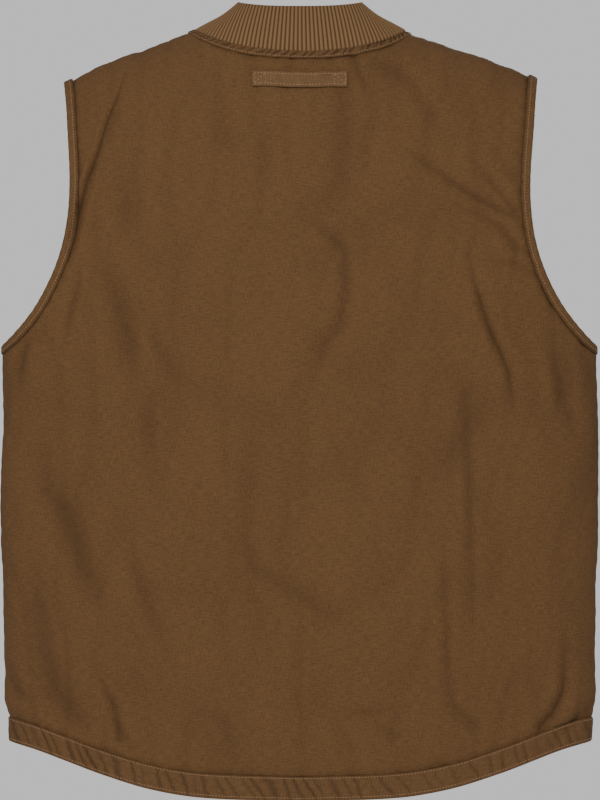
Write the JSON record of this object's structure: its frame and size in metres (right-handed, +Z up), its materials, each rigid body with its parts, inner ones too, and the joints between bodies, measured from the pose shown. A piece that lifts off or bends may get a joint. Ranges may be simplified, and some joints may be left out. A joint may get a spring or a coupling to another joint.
{
  "type": "work vest",
  "caption": "Sleeveless zip-front work vest of cotton duck with a rib-knit stand collar, bound armholes, a dropped gathered hem and a hanger loop under the collar.",
  "frame": {"origin": "middle of the line between the two points where the shoulder seams meet the collar", "axes": "+Z up, +X toward the wearer's left, the front faces -Y and the back faces +Y"},
  "size_m": [0.61, 0.1589, 0.8132],
  "materials": {
    "duck": "matte",
    "trim": "matte",
    "rib": "matte",
    "loop": "matte",
    "zip": "satin"
  },
  "bodies": {
    "root": {"back_panel": "duck", "front_panel_left": "duck", "front_panel_right": "duck", "collar_rib": "rib", "neck_band": "trim", "armhole_binding_left": "trim", "armhole_binding_right": "trim", "hem_back": "trim", "hem_front_left": "trim", "hem_front_right": "trim", "hanger_loop": "loop", "front_zip": "zip"}
  },
  "joints": []
}
